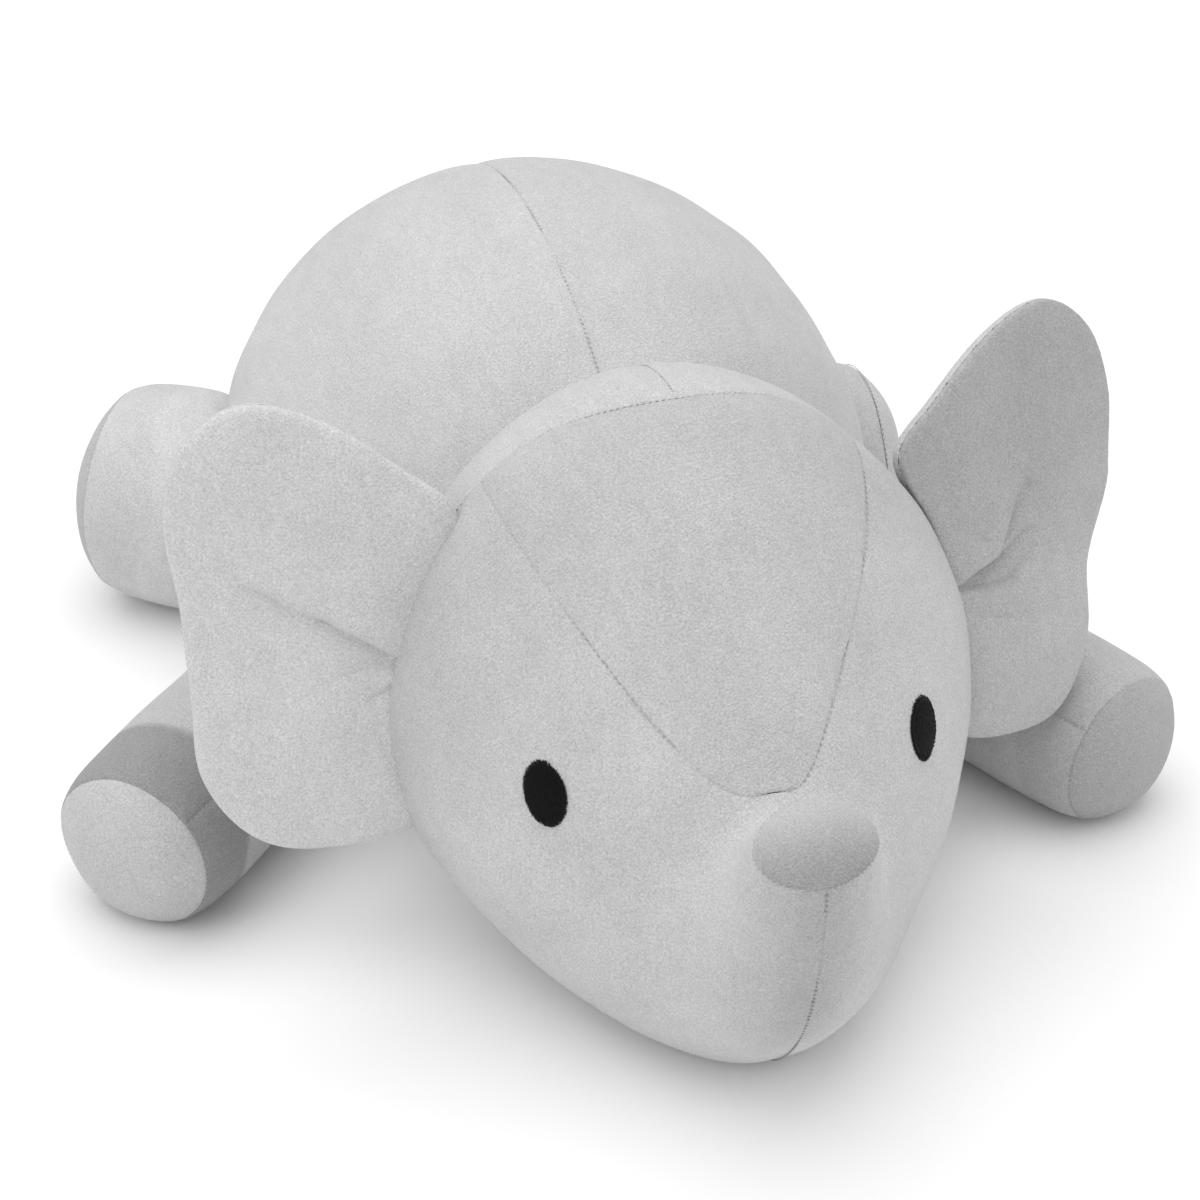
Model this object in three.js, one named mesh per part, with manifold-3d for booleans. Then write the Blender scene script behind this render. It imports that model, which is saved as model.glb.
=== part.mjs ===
// A stuffed velvet elephant lying on its belly, legs spread, chin on the floor.
// Millimetres, +Z up. It faces -Y, so its own left side is +X. The origin is on the floor,
// under the middle of the body. Each sewn panel is a closed sheet of cloth, and each limb
// holds its own lump of fibre filling.
import * as THREE from "three";
import { mergeVertices } from "three/addons/utils/BufferGeometryUtils.js";
import Module from "manifold-3d";

const wasm = await Module();
wasm.setup();

// Cloth and clearances
const CLOTH = 2.0; // velvet with its knitted backing
const SEAM_GAP = 0.5; // between two panels that meet at a seam
const CURVED_GAP = 3.2; // between two panels whose shared seam bends
const FILL_GAP = 3.4; // between the cloth and the filling under it
const MOVE_GAP = 4.5; // left around a limb at every position it can take
const QUARTER = Math.PI / 2;
const DEGREE = Math.PI / 180;

// Torso: an egg resting on the floor, fuller above its widest line than below it
const TORSO = { halfWidth: 169, rearLength: 192, frontLength: 208, waist: 74, crown: 171, belly: 98 };
const TORSO_SETTLE = 16; // height over which the filling rounds off against the floor
const SIDE_SEAM = -28 * DEGREE; // the belly panel meets the back panels below the waist
const SPINE_DRIFT = 5 * DEGREE; // the spine seam strays to the right towards the rear

// Head: rings from the back of the head to the tip of the upturned trunk
const HEAD = { rearY: -143, seamY: -250, rearFullness: 2.4, top: 262, lean: -5 };
const HEAD_SECTION = { narrowTop: 0.03, narrowEnds: 0.12, waistShare: 0.48 };
const HEAD_SETTLE = 14;
const CAP_RINGS = 6; // stations from the back of the head to the crown seam
const NECK_U = 0.14; // where the back of the head is sewn shut
// Each face station: crown line y, z; chin line y, z; half width
const FACE = [
  { top: [-247, 261], chin: [-262, -16], width: 134 },
  { top: [-285, 244], chin: [-296, -18], width: 122 },
  { top: [-313, 215], chin: [-332, -16], width: 101 },
  { top: [-338, 179], chin: [-368, -2], width: 75 },
  { top: [-356, 150], chin: [-399, 28], width: 53 },
  { top: [-369, 137], chin: [-421, 65], width: 40 },
  { top: [-378, 139], chin: [-433, 106], width: 31 },
  { top: [-386, 153], chin: [-438, 148], width: 26.5 },
];
const TRUNK_LEAN = { from: 0.66, offset: 8 }; // the trunk's upper side leans to the elephant's left
const TIP_DOME = 7; // the round panel on the end of the trunk bulges by this much
const GUSSET = { angle: 42 * DEGREE, fullness: 0.3, stations: 4.6 }; // half the angle it spans; where it ends
const CROWN_BOW = { depth: 0.04, reach: 0.22 }; // as steps along the head
// A positive turn at the neck lifts the chin
const NECK_HINGE = { pivot: [0, -196, 140], axis: [-1, 0, 0], range: [0, 8] };

// Eyes: embroidered ovals on the cheeks
const EYE = { u: 0.608, v: 22 * DEGREE, halfWidth: 13, halfHeight: 11.6, proud: 1.2 };

// Ears: flat pads sewn into the crown seam. out and up are measured from the root's middle.
const EAR_ROOT = { top: [101, -232, 208], bottom: [129, -263, 81] };
const EAR_OUTLINE = [
  [3, 70], [24, 88], [58, 108], [92, 110], [114, 88], [118, 56], [108, 20],
  [99, -22], [91, -58], [68, -82], [38, -86], [3, -68], [15, -34], [19, 0], [15, 34],
];
const EAR_CENTRE = [64, 8];
const EAR = { edge: 1.8, puff: 6.5, cup: 10, width: 118, fillingReach: 0.86 };
// Each ear's sweep towards the back at rest, and its swing from there. The left one rests against a leg.
const EAR_REST = {
  left: { sweep: 13, range: [-20, 0] },
  right: { sweep: 4, range: [-20, 12] },
};

// Legs: straight stuffed tubes with a round sole, hinged about an upright axis at the shoulder or hip.
// seam is how many of a leg's facets its lengthwise seam lies round from the leg's level side.
const LEG_SETTLE = 6;
const LEGS = {
  front_left: {
    root: [138, -74], heading: 25, length: 196, radius: 43, dome: 16,
    seam: 7, range: [0, 25],
  },
  front_right: {
    root: [-138, -78], heading: -41, length: 163, radius: 44, dome: 17,
    seam: 2, range: [-25, 3],
  },
  rear_left: {
    root: [112, 26], heading: 88, length: 78, radius: 58, dome: 20,
    seam: 0, range: [-5, 15],
  },
  rear_right: {
    root: [-112, 38], heading: -122, length: 112, radius: 61, dome: 20,
    seam: 9, range: [-15, 15],
  },
};
const LEG_FACETS = 18; // around a leg
// Along a leg, as shares of its surface from root to end
const BALL_U = 0.25; // the ball at the root ends
const SLEEVE_U = 0.175; // the sleeve is sewn shut inside the torso
const SOLE_U = 0.86; // the sole begins

// Tail: a thin stuffed tube sewn into the back seam
const TAIL = { root: [0, 183, 118], tip: [0, 226, 58], radius: 10, tipRadius: 6, range: [-5, 30] };
const TAIL_ENDS = { steepness: 2.2, roundness: 0.7 };

// ---------- solids ----------

// A closed body from quads of points, whichever way round the quads were listed.
function closedBody(quads) {
  const corners = [];
  const same = (a, b) => a.distanceToSquared(b) < 1e-6;
  for (const [a, b, c, d] of quads) {
    for (const triangle of [[a, b, c], [a, c, d]]) {
      const [p, q, r] = triangle;
      if (!same(p, q) && !same(q, r) && !same(r, p)) corners.push(p, q, r);
    }
  }
  let volume = 0;
  for (let i = 0; i < corners.length; i += 3) {
    volume += corners[i].dot(corners[i + 1].clone().cross(corners[i + 2]));
  }
  if (volume < 0) corners.reverse();
  return mergeVertices(new THREE.BufferGeometry().setFromPoints(corners), 1e-3);
}

function solidOf(geometry) {
  const vertProperties = geometry.attributes.position.array;
  const triVerts = new Uint32Array(geometry.index.array);
  return new wasm.Manifold(new wasm.Mesh({ numProp: 3, vertProperties, triVerts }));
}

function geometryOf(solid) {
  const { vertProperties, triVerts } = solid.getMesh();
  const geometry = new THREE.BufferGeometry();
  geometry.setAttribute("position", new THREE.BufferAttribute(vertProperties, 3));
  geometry.setIndex(new THREE.BufferAttribute(triVerts, 1));
  return geometry;
}

// Cuts the tools away and keeps the largest body that is left.
function cutAway(geometry, tools) {
  let solid = solidOf(geometry);
  for (const tool of tools) solid = solid.subtract(solidOf(tool));
  const pieces = solid.decompose();
  pieces.sort((a, b) => b.volume() - a.volume());
  return geometryOf(pieces[0]);
}

// Copies of a geometry at steps through a hinge's range.
function throughRange(geometry, hinge, steps) {
  const pivot = new THREE.Vector3(...hinge.pivot);
  const axis = new THREE.Vector3(...hinge.axis).normalize();
  const copies = [];
  for (let i = 0; i <= steps; i += 1) {
    const degrees = THREE.MathUtils.lerp(hinge.range[0], hinge.range[1], i / steps);
    const turn = new THREE.Matrix4().makeTranslation(pivot)
      .multiply(new THREE.Matrix4().makeRotationAxis(axis, degrees * DEGREE))
      .multiply(new THREE.Matrix4().makeTranslation(pivot.clone().negate()));
    copies.push(geometry.clone().applyMatrix4(turn));
  }
  return copies;
}

// ---------- surfaces: u runs from a body's back pole to its front pole, v around it ----------

// Stuffing flattens where it meets the floor.
function settle(z, height) {
  if (z >= height) return z;
  if (z <= -height) return 0;
  return (z + height) ** 2 / (4 * height);
}

function outward(surface, u, v) {
  const step = 1e-3;
  const middle = THREE.MathUtils.clamp(u, 2 * step, 1 - 2 * step);
  const alongU = surface(middle + step, v).sub(surface(middle - step, v));
  const alongV = surface(middle, v + step).sub(surface(middle, v - step));
  return alongV.cross(alongU).normalize();
}

function insetPoint(surface, u, v, depth) {
  return surface(u, v).addScaledVector(outward(surface, u, v), -depth);
}

// A grid of points on the surface, depth below it.
function grid(surface, { u, v, rows, columns }, depth) {
  return Array.from({ length: rows + 1 }, (_, i) => {
    const atU = THREE.MathUtils.lerp(u[0], u[1], i / rows);
    const [low, high] = v(atU);
    return Array.from({ length: columns + 1 }, (_, j) =>
      insetPoint(surface, atU, THREE.MathUtils.lerp(low, high, j / columns), depth));
  });
}

function quadsOf(points, flip) {
  const quads = [];
  for (let i = 0; i + 1 < points.length; i += 1) {
    for (let j = 0; j + 1 < points[i].length; j += 1) {
      const quad = [points[i][j], points[i][j + 1], points[i + 1][j + 1], points[i + 1][j]];
      quads.push(flip ? quad.reverse() : quad);
    }
  }
  return quads;
}

// The points along a grid's border, in order.
function border(points) {
  const last = points[0].length - 1;
  return [
    ...points[0],
    ...points.slice(1).map((row) => row[last]),
    ...points[points.length - 1].slice(0, -1).reverse(),
    ...points.slice(1, -1).map((row) => row[0]).reverse(),
  ];
}

// A sheet with an outer and an inner face, closed around its border.
function sheet(outer, inner) {
  const outerEdge = border(outer);
  const innerEdge = border(inner);
  const rim = outerEdge.map((point, i) => {
    const next = (i + 1) % outerEdge.length;
    return [outerEdge[next], point, innerEdge[i], innerEdge[next]];
  });
  return closedBody([...quadsOf(outer, false), ...quadsOf(inner, true), ...rim]);
}

function panel(surface, patch) {
  return sheet(grid(surface, patch, 0), grid(surface, patch, CLOTH));
}

// A closed lump, depth below the surface, from pole to pole.
function lump(surface, depth, rows, columns) {
  const around = { u: [0, 1], v: () => [0, 2 * Math.PI], rows, columns };
  const points = grid(surface, around, depth);
  for (const row of points) row[columns] = row[0];
  for (const pole of [0, rows]) {
    const centre = points[pole].slice(0, columns).reduce((sum, p) => sum.add(p), new THREE.Vector3());
    centre.divideScalar(columns);
    points[pole].fill(centre);
  }
  return closedBody(quadsOf(points, false));
}

// A seam's half gap as an angle around the ring at u.
function gapAngle(surface, u, gap = SEAM_GAP) {
  const across = surface(u, 0).distanceTo(surface(u, Math.PI)) / 2;
  return gap / 2 / Math.max(across, 2);
}

// ---------- torso ----------

function torsoSurface(u, v) {
  const latitude = Math.PI * u;
  const ring = Math.sin(latitude);
  const length = u < 0.5 ? TORSO.rearLength : TORSO.frontLength;
  const height = v < 0 || v > Math.PI ? TORSO.belly : TORSO.crown;
  const z = TORSO.waist + height * ring * Math.sin(v);
  return new THREE.Vector3(
    TORSO.halfWidth * ring * Math.cos(v),
    length * Math.cos(latitude),
    settle(z, TORSO_SETTLE),
  );
}

const TORSO_ENDS = [0.012, 0.988]; // just short of the poles, where the panels would cross

function spine(u) {
  return QUARTER + SPINE_DRIFT * (1 - u);
}

// A panel between two seams, each given as its angle at u.
function torsoPanel(low, high) {
  const v = (u) => [low(u) + gapAngle(torsoSurface, u), high(u) - gapAngle(torsoSurface, u)];
  return panel(torsoSurface, { u: TORSO_ENDS, v, rows: 12, columns: 8 });
}

// ---------- head ----------

// The back of the head is a rounded cap, and the face follows the hand-set stations.
function headStations() {
  const seam = FACE[0];
  const stations = [];
  for (let i = 0; i < CAP_RINGS; i += 1) {
    const angle = (QUARTER * i) / CAP_RINGS;
    const size = Math.sin(angle) ** (2 / HEAD.rearFullness);
    const back = (HEAD.rearY - HEAD.seamY) * Math.cos(angle) ** (2 / HEAD.rearFullness);
    const middle = (HEAD.top + seam.chin[1]) / 2;
    stations.push({
      top: [seam.top[0] + back, middle + (seam.top[1] - middle) * size],
      chin: [seam.chin[0] + back, middle + (seam.chin[1] - middle) * size],
      width: seam.width * size,
    });
  }
  return [...stations, ...FACE];
}

const STATIONS = headStations();

function throughStations(pointAt) {
  return new THREE.CatmullRomCurve3(STATIONS.map(pointAt), false, "catmullrom");
}

const LINES = {
  top: throughStations((station) => new THREE.Vector3(0, ...station.top)),
  chin: throughStations((station) => new THREE.Vector3(0, ...station.chin)),
  width: throughStations((station) => new THREE.Vector3(station.width, 0, 0)),
};
const TIP_U = 0.94; // the rim of the trunk's end
const SEAM_U = (TIP_U * CAP_RINGS) / (STATIONS.length - 1); // the crown seam
const APEX_U = (TIP_U * (CAP_RINGS + GUSSET.stations)) / (STATIONS.length - 1); // where the gusset ends

// The crown seam bows back on both sides of the midline, so the rings near it lean that way.
function crownBow(u, v) {
  const near = Math.max(0, 1 - ((u - SEAM_U) / CROWN_BOW.reach) ** 2) ** 2;
  return v > 0 && v < Math.PI ? CROWN_BOW.depth * near * Math.sin(2 * v) ** 2 : 0;
}

function headSurface(u, v) {
  const along = Math.min((u - crownBow(u, v)) / TIP_U, 1);
  const top = LINES.top.getPoint(along);
  const chin = LINES.chin.getPoint(along);
  top.x = TRUNK_LEAN.offset * Math.max(0, (along - TRUNK_LEAN.from) / (1 - TRUNK_LEAN.from));
  const middle = chin.clone().lerp(top, HEAD_SECTION.waistShare);
  const lift = Math.sin(v);
  const towards = lift > 0 ? top : chin;
  const point = middle.clone().addScaledVector(towards.clone().sub(middle), Math.abs(lift));
  const share = 1 - HEAD_SECTION.narrowTop * lift - HEAD_SECTION.narrowEnds * lift * lift;
  point.x += LINES.width.getPoint(along).x * Math.cos(v) * share;
  if (u > TIP_U) {
    const inwards = (u - TIP_U) / (1 - TIP_U);
    const centre = chin.clone().lerp(top, 0.5);
    const facing = new THREE.Vector3(1, 0, 0).cross(top.clone().sub(chin)).normalize();
    if (facing.z < 0) facing.negate();
    point.lerp(centre, inwards).addScaledVector(facing, TIP_DOME * (1 - (1 - inwards) ** 2));
  }
  point.x += (HEAD.lean * point.z) / HEAD.top;
  point.z = settle(point.z, HEAD_SETTLE);
  return point;
}

// Half the angle of the crown gusset at u: its sides bow out, then close to a point.
function gussetAngle(u) {
  const share = THREE.MathUtils.clamp((APEX_U - u) / (APEX_U - SEAM_U), 0, 1);
  return GUSSET.angle * Math.sin(QUARTER * share) ** GUSSET.fullness;
}

const SEAM_STEP = 0.0018; // half the crown seam's gap, as a step in u
const TIP_STEP = 0.011; // room for the cloth of the trunk's tip

function cheek(side) {
  const v = (u) => {
    const gap = gapAngle(headSurface, u);
    const upper = QUARTER - gussetAngle(u) - gap;
    return side > 0 ? [-QUARTER + gap, upper] : [Math.PI - upper, 3 * QUARTER - gap];
  };
  return panel(headSurface, { u: [SEAM_U + SEAM_STEP, TIP_U - TIP_STEP], v, rows: 13, columns: 9 });
}

function gusset() {
  const v = (u) => {
    const half = Math.max(gussetAngle(u) - gapAngle(headSurface, u, CURVED_GAP), 0.01);
    return [QUARTER - half, QUARTER + half];
  };
  return panel(headSurface, { u: [SEAM_U + SEAM_STEP, APEX_U - 0.015], v, rows: 9, columns: 8 });
}

function backOfHead(side) {
  const v = (u) => {
    const gap = gapAngle(headSurface, u);
    return side > 0 ? [-QUARTER + gap, QUARTER - gap] : [QUARTER + gap, 3 * QUARTER - gap];
  };
  return panel(headSurface, { u: [NECK_U, SEAM_U - SEAM_STEP], v, rows: 6, columns: 10 });
}

function trunkTip() {
  const patch = { u: [TIP_U + SEAM_STEP, 1], v: () => [0, 2 * Math.PI], rows: 3, columns: 16 };
  const outer = grid(headSurface, patch, 0);
  const inner = outer.map((row) => row.map((point) => point.clone().setZ(point.z - CLOTH)));
  return discOf(outer, inner);
}

// A round dished disc between an upper and a lower grid whose last rows are its centre.
function discOf(upper, lower) {
  for (const points of [upper, lower]) {
    for (const row of points) row[row.length - 1] = row[0];
    points[points.length - 1].fill(points[points.length - 1][0]);
  }
  const rim = upper[0].slice(1).map((point, j) => [point, upper[0][j], lower[0][j], lower[0][j + 1]]);
  return closedBody([...quadsOf(upper, false), ...quadsOf(lower, true), ...rim]);
}

// An oval pad that follows the cheek.
function eye(side) {
  const atV = side > 0 ? EYE.v : Math.PI - EYE.v;
  const step = 1e-3;
  const perU = headSurface(EYE.u + step, atV).distanceTo(headSurface(EYE.u - step, atV)) / (2 * step);
  const perV = headSurface(EYE.u, atV + step).distanceTo(headSurface(EYE.u, atV - step)) / (2 * step);
  const rings = 3;
  const sides = 16;
  const lift = 0.3; // off the cheek's velvet
  const face = (depth) => Array.from({ length: rings + 1 }, (_, i) => {
    const size = 1 - i / rings;
    return Array.from({ length: sides + 1 }, (_, j) => {
      const angle = (2 * Math.PI * j) / sides;
      const u = EYE.u + (EYE.halfWidth * size * Math.cos(angle)) / perU;
      const v = atV + (EYE.halfHeight * size * Math.sin(angle)) / perV;
      return insetPoint(headSurface, u, v, depth);
    });
  });
  return discOf(face(-lift - EYE.proud), face(-lift));
}

// ---------- ears ----------

function earBasis(side) {
  const [top, bottom] = [EAR_ROOT.top, EAR_ROOT.bottom].map(([x, y, z]) => new THREE.Vector3(side * x, y, z));
  const up = top.clone().sub(bottom).normalize();
  const out = new THREE.Vector3(side, 0, 0);
  out.addScaledVector(up, -out.dot(up)).normalize();
  const back = up.clone().cross(out).multiplyScalar(side).normalize();
  const pivot = top.clone().add(bottom).multiplyScalar(0.5);
  return { up, out, back, pivot };
}

// A turn about this axis by a positive angle sweeps the ear back.
function earHinge(side, rest) {
  const { up, pivot } = earBasis(side);
  return { pivot: pivot.toArray(), axis: up.multiplyScalar(side).toArray(), range: rest.range };
}

// The ear's grid: from its outline in to its middle, on the face that lies at height(share).
function earFace(side, rest, height, reach = 1) {
  const { up, out, back, pivot } = earBasis(side);
  const outline = new THREE.CatmullRomCurve3(
    EAR_OUTLINE.map(([x, y]) => new THREE.Vector3(x, y, 0)), true, "catmullrom");
  const swing = rest.sweep * DEGREE;
  const spread = out.clone().multiplyScalar(Math.cos(swing)).addScaledVector(back, Math.sin(swing));
  const facing = back.clone().multiplyScalar(Math.cos(swing)).addScaledVector(out, -Math.sin(swing));
  const rows = 4;
  const columns = 22;
  return Array.from({ length: rows + 1 }, (_, i) => {
    const share = reach * Math.sin((QUARTER * (rows - i)) / rows);
    return Array.from({ length: columns + 1 }, (_, j) => {
      const edge = outline.getPoint((j % columns) / columns);
      const x = THREE.MathUtils.lerp(EAR_CENTRE[0], edge.x, share);
      const y = THREE.MathUtils.lerp(EAR_CENTRE[1], edge.y, share);
      const bend = EAR.cup * (x / EAR.width) ** 2;
      return pivot.clone().addScaledVector(spread, x).addScaledVector(up, y)
        .addScaledVector(facing, bend + height(share));
    });
  });
}

function earThickness(share) {
  return EAR.edge + EAR.puff * Math.sqrt(Math.max(0, 1 - share * share));
}

function earPanel(side, rest, facing) {
  const outer = earFace(side, rest, (share) => facing * earThickness(share));
  const inner = earFace(side, rest, (share) => facing * Math.max(earThickness(share) - CLOTH, 0.25));
  return discOf(outer, inner);
}

function earFilling(side, rest) {
  const half = (share) => Math.max(earThickness(share) - CLOTH - FILL_GAP, 0.3);
  const face = (facing) => earFace(side, rest, (share) => facing * half(share), EAR.fillingReach);
  return discOf(face(1), face(-1));
}

// ---------- legs ----------

// A leg's surface: a ball at its root, a tube, a flat-edged ring, then a domed sole.
function legSurface({ root, heading, length, radius, dome }) {
  const turn = new THREE.Matrix4().makeRotationZ(heading * DEGREE);
  const centreZ = radius - LEG_SETTLE;
  return (u, v) => {
    let size = 1;
    let along = 0;
    if (u < BALL_U) {
      const angle = (QUARTER * u) / BALL_U;
      size = Math.sin(angle);
      along = -radius * Math.cos(angle);
    } else if (u < SOLE_U) {
      along = (length * (u - BALL_U)) / (SOLE_U - BALL_U);
    } else {
      const inwards = (u - SOLE_U) / (1 - SOLE_U);
      size = 1 - inwards;
      along = length + dome * (1 - size * size);
    }
    const point = new THREE.Vector3(radius * size * Math.cos(v), -along, radius * size * Math.sin(v));
    point.applyMatrix4(turn);
    return new THREE.Vector3(point.x + root[0], point.y + root[1], settle(point.z + centreZ, LEG_SETTLE));
  };
}

function legHinge({ root, radius, range }) {
  return { pivot: [root[0], root[1], radius], axis: [0, 0, 1], range };
}

// The sleeve is one sheet wrapped around, so it has one lengthwise seam.
function legSleeve(leg) {
  const surface = legSurface(leg);
  const seam = (2 * Math.PI * leg.seam) / LEG_FACETS;
  const v = (u) => [seam + gapAngle(surface, u), seam + 2 * Math.PI - gapAngle(surface, u)];
  const soleEdge = SOLE_U - ((CLOTH + SEAM_GAP) / leg.length) * (SOLE_U - BALL_U);
  return panel(surface, { u: [SLEEVE_U, soleEdge], v, rows: 5, columns: LEG_FACETS });
}

function legSole(leg) {
  const surface = legSurface(leg);
  const patch = { u: [SOLE_U + SEAM_STEP, 1], v: () => [0, 2 * Math.PI], rows: 2, columns: LEG_FACETS };
  const facing = new THREE.Vector3(Math.sin(leg.heading * DEGREE), -Math.cos(leg.heading * DEGREE), 0);
  const outer = grid(surface, patch, 0);
  const inner = outer.map((row) => row.map((point) => point.clone().addScaledVector(facing, -CLOTH)));
  return discOf(outer, inner);
}

// ---------- tail ----------

function tailSurface(u, v) {
  const root = new THREE.Vector3(...TAIL.root);
  const reach = new THREE.Vector3(...TAIL.tip).sub(root);
  const length = reach.length();
  const down = reach.normalize();
  const side = new THREE.Vector3(1, 0, 0);
  const across = down.clone().cross(side);
  const radius = THREE.MathUtils.lerp(TAIL.radius, TAIL.tipRadius, u);
  const angle = Math.PI * u;
  const size = Math.min(1, Math.sin(angle) * TAIL_ENDS.steepness) ** TAIL_ENDS.roundness;
  return root.addScaledVector(down, length * (0.5 - 0.5 * Math.cos(angle)))
    .addScaledVector(side, radius * size * Math.cos(v))
    .addScaledVector(across, radius * size * Math.sin(v));
}

// ---------- assembly ----------

const model = new THREE.Group();

function add(name, geometry, color, roughness = 0.95) {
  const material = new THREE.MeshStandardMaterial({ color, roughness, metalness: 0 });
  const mesh = new THREE.Mesh(geometry, material);
  mesh.name = name;
  model.add(mesh);
}

const COLOURS = { velvet: 0xd2d1d0, filling: 0xf4f3ef, thread: 0x151515 };

const headRoom = throughRange(lump(headSurface, -MOVE_GAP, 12, 18), NECK_HINGE, 2);
const legRoom = Object.values(LEGS).flatMap((leg) =>
  throughRange(lump(legSurface(leg), -MOVE_GAP, 10, 14), legHinge(leg), 3));
const tailHinge = { pivot: TAIL.root, axis: [1, 0, 0], range: TAIL.range };
const tailRoom = throughRange(lump(tailSurface, -MOVE_GAP, 8, 8), tailHinge, 2);
const torsoRoom = [...headRoom, ...legRoom, ...tailRoom];

const leftSide = () => SIDE_SEAM;
const rightSide = () => Math.PI - SIDE_SEAM;
const leftSideAgain = () => 2 * Math.PI + SIDE_SEAM;
add("back_panel_left", cutAway(torsoPanel(leftSide, spine), torsoRoom), COLOURS.velvet);
add("back_panel_right", cutAway(torsoPanel(spine, rightSide), torsoRoom), COLOURS.velvet);
add("belly_panel", cutAway(torsoPanel(rightSide, leftSideAgain), torsoRoom), COLOURS.velvet);
add("torso_filling", cutAway(lump(torsoSurface, CLOTH + FILL_GAP, 12, 20), torsoRoom), COLOURS.filling);

add("crown_gusset", gusset(), COLOURS.velvet);
add("cheek_left", cheek(1), COLOURS.velvet);
add("cheek_right", cheek(-1), COLOURS.velvet);
add("back_of_head_left", backOfHead(1), COLOURS.velvet);
add("back_of_head_right", backOfHead(-1), COLOURS.velvet);
add("trunk_tip", trunkTip(), COLOURS.velvet);
add("head_filling", lump(headSurface, CLOTH + FILL_GAP, 20, 18), COLOURS.filling);
add("eye_left", eye(1), COLOURS.thread, 0.4);
add("eye_right", eye(-1), COLOURS.thread, 0.4);

for (const [side, name] of [[1, "left"], [-1, "right"]]) {
  const rest = EAR_REST[name];
  const headAround = throughRange(lump(headSurface, -MOVE_GAP, 20, 20), earHinge(side, rest), 2);
  add(`ear_front_${name}`, cutAway(earPanel(side, rest, -1), headAround), COLOURS.velvet);
  add(`ear_back_${name}`, cutAway(earPanel(side, rest, 1), headAround), COLOURS.velvet);
  add(`ear_filling_${name}`, cutAway(earFilling(side, rest), headAround), COLOURS.filling);
}

for (const [name, leg] of Object.entries(LEGS)) {
  add(`${name}_sleeve`, legSleeve(leg), COLOURS.velvet);
  add(`${name}_sole`, legSole(leg), COLOURS.velvet);
  add(`${name}_filling`, lump(legSurface(leg), CLOTH + FILL_GAP, 9, LEG_FACETS), COLOURS.filling);
}

add("tail", lump(tailSurface, 0, 8, 10), COLOURS.velvet);

export default model;
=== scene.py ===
import math

import bmesh
import bpy
import numpy as np
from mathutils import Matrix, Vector
from mathutils.kdtree import KDTree


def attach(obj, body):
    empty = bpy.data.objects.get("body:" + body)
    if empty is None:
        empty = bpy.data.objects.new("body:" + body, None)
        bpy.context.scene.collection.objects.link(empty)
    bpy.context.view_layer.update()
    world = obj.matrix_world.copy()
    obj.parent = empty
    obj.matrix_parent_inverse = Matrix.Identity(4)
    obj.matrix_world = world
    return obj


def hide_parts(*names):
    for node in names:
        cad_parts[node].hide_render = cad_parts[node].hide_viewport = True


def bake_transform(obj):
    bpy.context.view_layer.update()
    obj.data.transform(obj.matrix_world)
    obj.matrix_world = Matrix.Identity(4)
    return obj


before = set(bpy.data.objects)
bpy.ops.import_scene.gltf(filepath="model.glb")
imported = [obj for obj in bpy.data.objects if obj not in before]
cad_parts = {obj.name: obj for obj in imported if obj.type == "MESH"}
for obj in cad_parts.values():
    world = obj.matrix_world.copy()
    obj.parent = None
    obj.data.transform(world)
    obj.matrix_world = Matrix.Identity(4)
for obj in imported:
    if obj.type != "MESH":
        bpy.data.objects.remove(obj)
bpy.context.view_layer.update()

MM = 0.001
QUARTER = math.pi / 2
TURN = 2 * math.pi

# ---------- driving dimensions, as in the frame ----------

TORSO = {"half_width": 169, "rear_length": 192, "front_length": 208, "waist": 74, "crown": 171, "belly": 98}
TORSO_SETTLE = 16  # height over which the filling rounds off against the floor
SIDE_SEAM = math.radians(-28)  # the belly panel meets the back panels below the waist
SPINE_DRIFT = math.radians(5)  # the spine seam strays to the right towards the rear

HEAD = {"rear_y": -143, "seam_y": -250, "rear_fullness": 2.4, "top": 262, "lean": -5}
HEAD_SHAPE = {"narrow_top": 0.03, "narrow_ends": 0.12, "waist_share": 0.48}
HEAD_SETTLE = 14
CAP_RINGS = 6  # stations from the back of the head to the crown seam
# Each face station: crown line y, z; chin line y, z; half width
FACE = [
    ((-247, 261), (-262, -16), 134),
    ((-285, 244), (-296, -18), 122),
    ((-313, 215), (-332, -16), 101),
    ((-338, 179), (-368, -2), 75),
    ((-356, 150), (-399, 28), 53),
    ((-369, 137), (-421, 65), 40),
    ((-378, 139), (-433, 106), 31),
    ((-386, 153), (-438, 148), 26.5),
]
TRUNK_LEAN = {"from": 0.66, "offset": 8}
TIP_DOME = 7
TIP_U = 0.94  # the rim of the trunk's end
STATION_COUNT = CAP_RINGS + len(FACE)
SEAM_U = TIP_U * CAP_RINGS / (STATION_COUNT - 1)  # the crown seam
GUSSET_STATIONS = 4.6  # how many stations the crown gusset reaches down the face
APEX_U = TIP_U * (CAP_RINGS + GUSSET_STATIONS) / (STATION_COUNT - 1)
NECK_U = 0.14  # where the back of the head is sewn shut inside the neck
GUSSET_ANGLE = math.radians(42)
GUSSET_FULLNESS = 0.3
CROWN_BOW = {"depth": 0.04, "reach": 0.22}

# An eye's place on the head; half_width is along the head and half_height around it
EYE = {
    "u": 0.608, "v": math.radians(22), "half_width": 11.8, "half_height": 12.2,
    "proud": 1.2, "fullness": 0.7,
}

EAR_ROOT_TOP = (101, -232, 208)
EAR_ROOT_BOTTOM = (129, -263, 81)
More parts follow.
